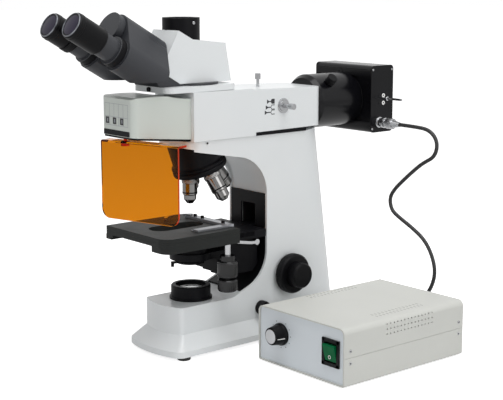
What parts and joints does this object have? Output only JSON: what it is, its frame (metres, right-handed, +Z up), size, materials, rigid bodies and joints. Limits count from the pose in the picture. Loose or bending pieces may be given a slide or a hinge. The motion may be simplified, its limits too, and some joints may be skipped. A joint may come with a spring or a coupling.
{
  "type": "fluorescence microscope",
  "caption": "Upright bench microscope with a reflected-light fluorescence illuminator, amber eye shield, lamp house and separate lamp power box.",
  "frame": {"origin": "optical axis at the bench surface, under the feet", "axes": "+Z up, -Y towards the seated user, +X to the user's right"},
  "size_m": [0.3745, 0.5833, 0.4971],
  "materials": {
    "white_enamel": "satin enamel",
    "black_enamel": "satin black",
    "black_plastic": "fine grain",
    "bare_alloy": "turned",
    "bright_steel": "plated",
    "ground_steel": "ground",
    "amber_acrylic": "clear amber",
    "lens_glass": "coated",
    "foot_rubber": "matt",
    "cable_rubber": "smooth",
    "box_enamel": "off-white",
    "panel_grey": "blue grey",
    "green_lens": "translucent",
    "core_iron": "varnished"
  },
  "bodies": {
    "stand": {"stand_casting": "white_enamel", "base_cover": "black_enamel", "rubber_feet": "foot_rubber", "field_ring": "black_enamel", "stand_lenses": "lens_glass", "light_sources": "bare_alloy", "column_cover": "black_plastic", "mains_inlets": "black_plastic", "gap_plate": "black_enamel", "illuminator_body": "white_enamel", "nose_cover": "white_enamel", "nose_floor": "black_enamel", "head_platform": "white_enamel", "nosepiece_mount": "black_enamel", "lamp_neck": "black_enamel", "lamp_housing": "black_enamel", "lamp_end_plates": "black_enamel", "lamp_socket": "bright_steel", "lamp_plug": "bright_steel", "lamp_cord": "cable_rubber", "cord_gland": "black_plastic", "box_tray": "box_enamel", "box_cover": "box_enamel", "box_panels": "panel_grey", "transformer": "core_iron", "rod_base": "bright_steel"},
    "coarse_focus": {"coarse_focus": "black_plastic"},
    "fine_focus": {"fine_focus": "black_plastic"},
    "focus_slide": {"focus_slide": "ground_steel"},
    "carrier": {"stage_bracket": "black_enamel"},
    "stage_lever": {"stage_lever": "bright_steel"},
    "stage": {"stage_plates": "black_enamel", "drive_belt": "ground_steel"},
    "y_drive": {"y_drive": "black_plastic"},
    "x_drive": {"x_drive": "black_plastic"},
    "slide_holder": {"slide_holder": "black_enamel"},
    "holder_finger": {"holder_finger": "bright_steel"},
    "condenser": {"condenser": "black_enamel"},
    "condenser_knob": {"condenser_knob": "black_plastic"},
    "aperture_lever": {"aperture_lever": "bright_steel"},
    "nosepiece": {"nosepiece_turret": "black_enamel", "objectives": "bright_steel"},
    "uv_shield": {"uv_shield": "amber_acrylic"},
    "head": {"head_base": "black_enamel", "head_cover": "white_enamel", "photo_port": "black_enamel"},
    "left_tube": {"left_wing": "black_enamel", "left_eyepiece": "black_plastic"},
    "right_tube": {"right_wing": "black_enamel", "right_eyepiece": "black_plastic"},
    "dioptre_ring": {"dioptre_ring": "black_plastic"},
    "port_slider": {"port_slider": "bright_steel"},
    "light_lever": {"light_lever": "bright_steel"},
    "push_rod": {"push_rod": "bright_steel"},
    "filter_wheel": {"filter_wheel": "black_enamel"},
    "brightness_knob": {"brightness_knob": "black_plastic"},
    "collector_knob": {"collector_knob": "black_plastic"},
    "lamp_rod": {"lamp_rod": "bright_steel"},
    "supply_knob": {"supply_knob": "black_plastic"},
    "supply_rocker": {"supply_rocker": "green_lens"}
  },
  "joints": [
    {"name": "stage_lift", "type": "slide", "parent": "stand", "child": "focus_slide", "axis": [0, 0, 1], "range_m": [0, 0.021]},
    {"name": "coarse_knob", "type": "hinge", "parent": "stand", "child": "coarse_focus", "pos_m": [0, 0.155, 0.096], "axis": [1, 0, 0], "range_deg": [-201, 0]},
    {"name": "fine_knob", "type": "hinge", "parent": "stand", "child": "fine_focus", "pos_m": [0, 0.155, 0.096], "axis": [1, 0, 0], "range_deg": [-900, 900]},
    {"name": "fine_lift", "type": "slide", "parent": "focus_slide", "child": "carrier", "axis": [0, 0, 1], "range_m": [-0.0005, 0.0005]},
    {"name": "lever_turn", "type": "hinge", "parent": "carrier", "child": "stage_lever", "pos_m": [0.03, 0.098, 0.15], "axis": [1, 0, 0], "range_deg": [0, 20]},
    {"name": "stage_travel", "type": "slide", "parent": "carrier", "child": "stage", "axis": [0, 1, 0], "range_m": [0, 0.05]},
    {"name": "y_knob", "type": "hinge", "parent": "stage", "child": "y_drive", "pos_m": [0.057, 0.024, 0.124], "axis": [0, 0, 1], "range_deg": [-1, 478]},
    {"name": "holder_travel", "type": "slide", "parent": "stage", "child": "slide_holder", "axis": [1, 0, 0], "range_m": [-0.037, 0.037]},
    {"name": "x_knob", "type": "hinge", "parent": "stage", "child": "x_drive", "pos_m": [0.057, 0.024, 0.1], "axis": [0, 0, 1], "range_deg": [-354, 354]},
    {"name": "finger_swing", "type": "hinge", "parent": "slide_holder", "child": "holder_finger", "pos_m": [-0.037, 0.028, 0.188], "axis": [0, 0, 1], "range_deg": [-25, 0], "stiffness_Nm_per_rad": 0.04, "springref_deg": 20.05},
    {"name": "condenser_lift", "type": "slide", "parent": "carrier", "child": "condenser", "axis": [0, 0, 1], "range_m": [-0.006, 0.012]},
    {"name": "condenser_knob_turn", "type": "hinge", "parent": "carrier", "child": "condenser_knob", "pos_m": [0, 0.064, 0.122], "axis": [1, 0, 0], "range_deg": [-115, 58]},
    {"name": "aperture_turn", "type": "hinge", "parent": "condenser", "child": "aperture_lever", "pos_m": [0, 0, 0.128], "axis": [0, 0, 1], "range_deg": [-35, 45]},
    {"name": "nosepiece_turn", "type": "hinge", "parent": "stand", "child": "nosepiece", "pos_m": [0, 0, 0.3192], "axis": [0, -0.342, 0.9397], "continuous": true},
    {"name": "shield_swing", "type": "hinge", "parent": "stand", "child": "uv_shield", "pos_m": [0, -0.11235, 0.3192], "axis": [0, 0, 1], "range_deg": [-46, 14]},
    {"name": "head_swivel", "type": "hinge", "parent": "stand", "child": "head", "pos_m": [0, 0, 0.391], "axis": [0, 0, 1], "continuous": true},
    {"name": "right_swing", "type": "hinge", "parent": "head", "child": "right_tube", "pos_m": [0, -0.0408, 0.4194], "axis": [0, -0.866, 0.5], "range_deg": [-11, 12.4]},
    {"name": "left_swing", "type": "hinge", "parent": "head", "child": "left_tube", "pos_m": [0, -0.0408, 0.4194], "axis": [0, -0.866, 0.5], "range_deg": [-12.4, 11]},
    {"name": "dioptre_turn", "type": "hinge", "parent": "left_tube", "child": "dioptre_ring", "pos_m": [-0.031, -0.0576, 0.3903], "axis": [0, -0.866, 0.5], "range_deg": [-150, 150]},
    {"name": "port_pull", "type": "slide", "parent": "head", "child": "port_slider", "axis": [1, 0, 0], "range_m": [-0.006, 0.006]},
    {"name": "light_shift", "type": "slide", "parent": "stand", "child": "light_lever", "axis": [1, 0, 0], "range_m": [-0.005, 0.005]},
    {"name": "rod_push", "type": "slide", "parent": "stand", "child": "push_rod", "axis": [1, 0, 0], "range_m": [-0.012, 0.006]},
    {"name": "filter_turn", "type": "hinge", "parent": "stand", "child": "filter_wheel", "pos_m": [-0.003, -0.0245, 0.337], "axis": [0, 0, 1], "continuous": true},
    {"name": "brightness_turn", "type": "hinge", "parent": "stand", "child": "brightness_knob", "pos_m": [0.05, 0.0985, 0.0505], "axis": [1, 0, 0], "range_deg": [-150, 150]},
    {"name": "collector_turn", "type": "hinge", "parent": "stand", "child": "collector_knob", "pos_m": [0, 0.25, 0.35], "axis": [0.7071, 0, 0.7071], "range_deg": [-140, 140]},
    {"name": "lamp_shift", "type": "slide", "parent": "stand", "child": "lamp_rod", "axis": [1, 0, 0], "range_m": [-0.01, 0.005]},
    {"name": "supply_turn", "type": "hinge", "parent": "stand", "child": "supply_knob", "pos_m": [0.1675, 0.028, 0.0485], "axis": [0, -1, 0], "range_deg": [-150, 150]},
    {"name": "rocker_tilt", "type": "hinge", "parent": "stand", "child": "supply_rocker", "pos_m": [0.269, 0.0295, 0.0453], "axis": [1, 0, 0], "range_deg": [-20, 0]}
  ],
  "couplings": [
    {"joint": "coarse_knob", "follows": "stage_lift", "rad_per_m": -166.67},
    {"joint": "fine_knob", "follows": "fine_lift", "rad_per_m": 31400},
    {"joint": "y_knob", "follows": "stage_travel", "rad_per_m": 166.67},
    {"joint": "x_knob", "follows": "holder_travel", "rad_per_m": -166.67},
    {"joint": "condenser_knob_turn", "follows": "condenser_lift", "rad_per_m": -166.67},
    {"joint": "left_swing", "follows": "right_swing", "ratio": -1}
  ]
}
